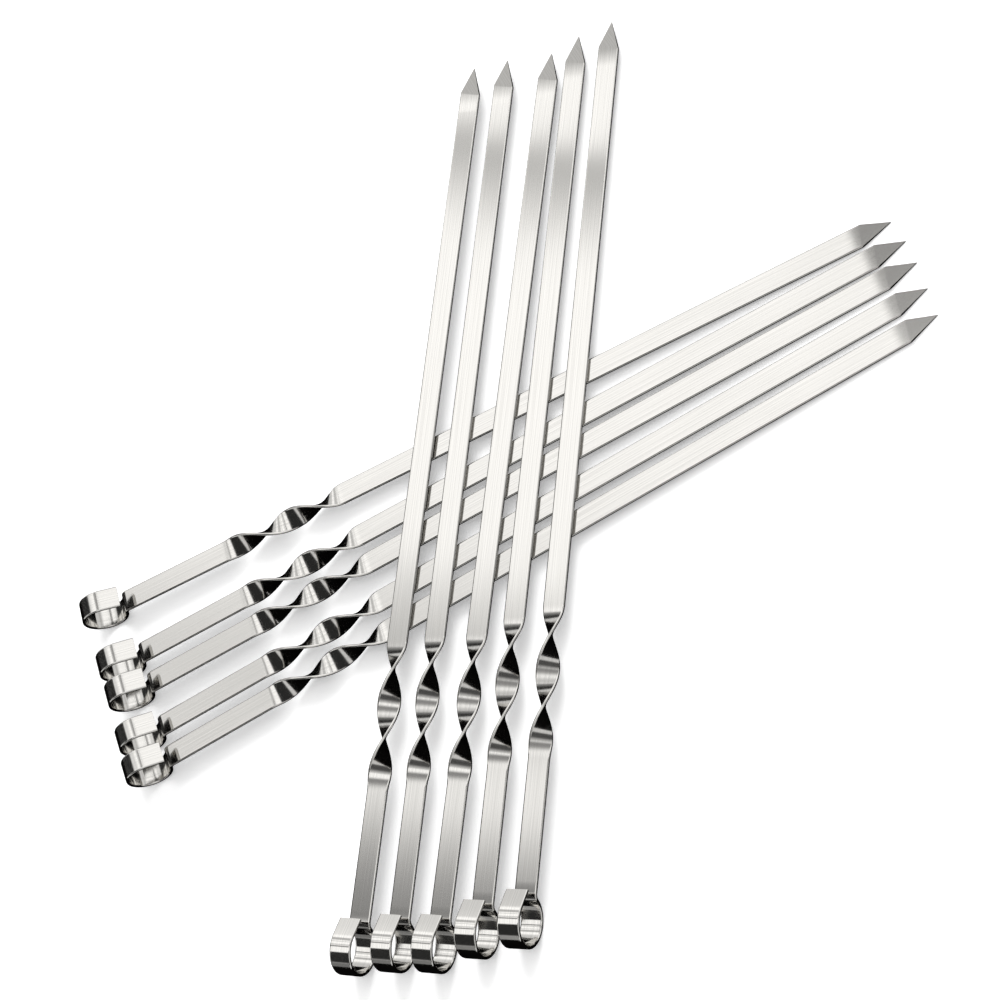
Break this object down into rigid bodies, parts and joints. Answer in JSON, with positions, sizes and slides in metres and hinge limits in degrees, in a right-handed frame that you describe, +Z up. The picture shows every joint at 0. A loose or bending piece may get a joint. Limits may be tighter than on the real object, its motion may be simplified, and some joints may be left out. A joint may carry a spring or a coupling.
{
  "type": "kebab skewer set",
  "caption": "Flat twisted stainless kebab skewers with curled eyes, laid out as two crossing fans; each one lifts or draws out by itself.",
  "frame": {"origin": "on the surface that the set lies on, below the middle of its bounding box", "axes": "+Z up, +X roughly from the eyes to the points of both fans, +Y from the upper fan's eyes to the lower fan's eyes"},
  "size_m": [0.4092, 0.2958, 0.0214],
  "materials": {
    "stainless_strip": "brushed lengthwise, ground points"
  },
  "bodies": {
    "lower_skewer_1": {"lower_skewer_1": "stainless_strip"},
    "lower_skewer_2": {"lower_skewer_2": "stainless_strip"},
    "lower_skewer_3": {"lower_skewer_3": "stainless_strip"},
    "lower_skewer_4": {"lower_skewer_4": "stainless_strip"},
    "lower_skewer_5": {"lower_skewer_5": "stainless_strip"},
    "upper_skewer_1": {"upper_skewer_1": "stainless_strip"},
    "upper_skewer_2": {"upper_skewer_2": "stainless_strip"},
    "upper_skewer_3": {"upper_skewer_3": "stainless_strip"},
    "upper_skewer_4": {"upper_skewer_4": "stainless_strip"},
    "upper_skewer_5": {"upper_skewer_5": "stainless_strip"}
  },
  "joints": [
    {"name": "lower_skewer_2_draw", "type": "slide", "parent": "lower_skewer_1", "child": "lower_skewer_2", "axis": [-0.809, 0.5879, 0], "range_m": [0, 0.42]},
    {"name": "lower_skewer_3_draw", "type": "slide", "parent": "lower_skewer_1", "child": "lower_skewer_3", "axis": [-0.8156, 0.5786, 0], "range_m": [0, 0.42]},
    {"name": "lower_skewer_4_draw", "type": "slide", "parent": "lower_skewer_1", "child": "lower_skewer_4", "axis": [-0.8292, 0.5589, 0], "range_m": [0, 0.42]},
    {"name": "lower_skewer_5_draw", "type": "slide", "parent": "lower_skewer_1", "child": "lower_skewer_5", "axis": [-0.8327, 0.5537, 0], "range_m": [0, 0.42]},
    {"name": "upper_skewer_1_lift", "type": "slide", "parent": "lower_skewer_1", "child": "upper_skewer_1", "axis": [0, 0, 1], "range_m": [0, 0.12]},
    {"name": "upper_skewer_2_lift", "type": "slide", "parent": "lower_skewer_1", "child": "upper_skewer_2", "axis": [0, 0, 1], "range_m": [0, 0.12]},
    {"name": "upper_skewer_3_lift", "type": "slide", "parent": "lower_skewer_1", "child": "upper_skewer_3", "axis": [0, 0, 1], "range_m": [0, 0.12]},
    {"name": "upper_skewer_4_lift", "type": "slide", "parent": "lower_skewer_1", "child": "upper_skewer_4", "axis": [0, 0, 1], "range_m": [0, 0.12]},
    {"name": "upper_skewer_5_lift", "type": "slide", "parent": "lower_skewer_1", "child": "upper_skewer_5", "axis": [0, 0, 1], "range_m": [0, 0.12]}
  ]
}
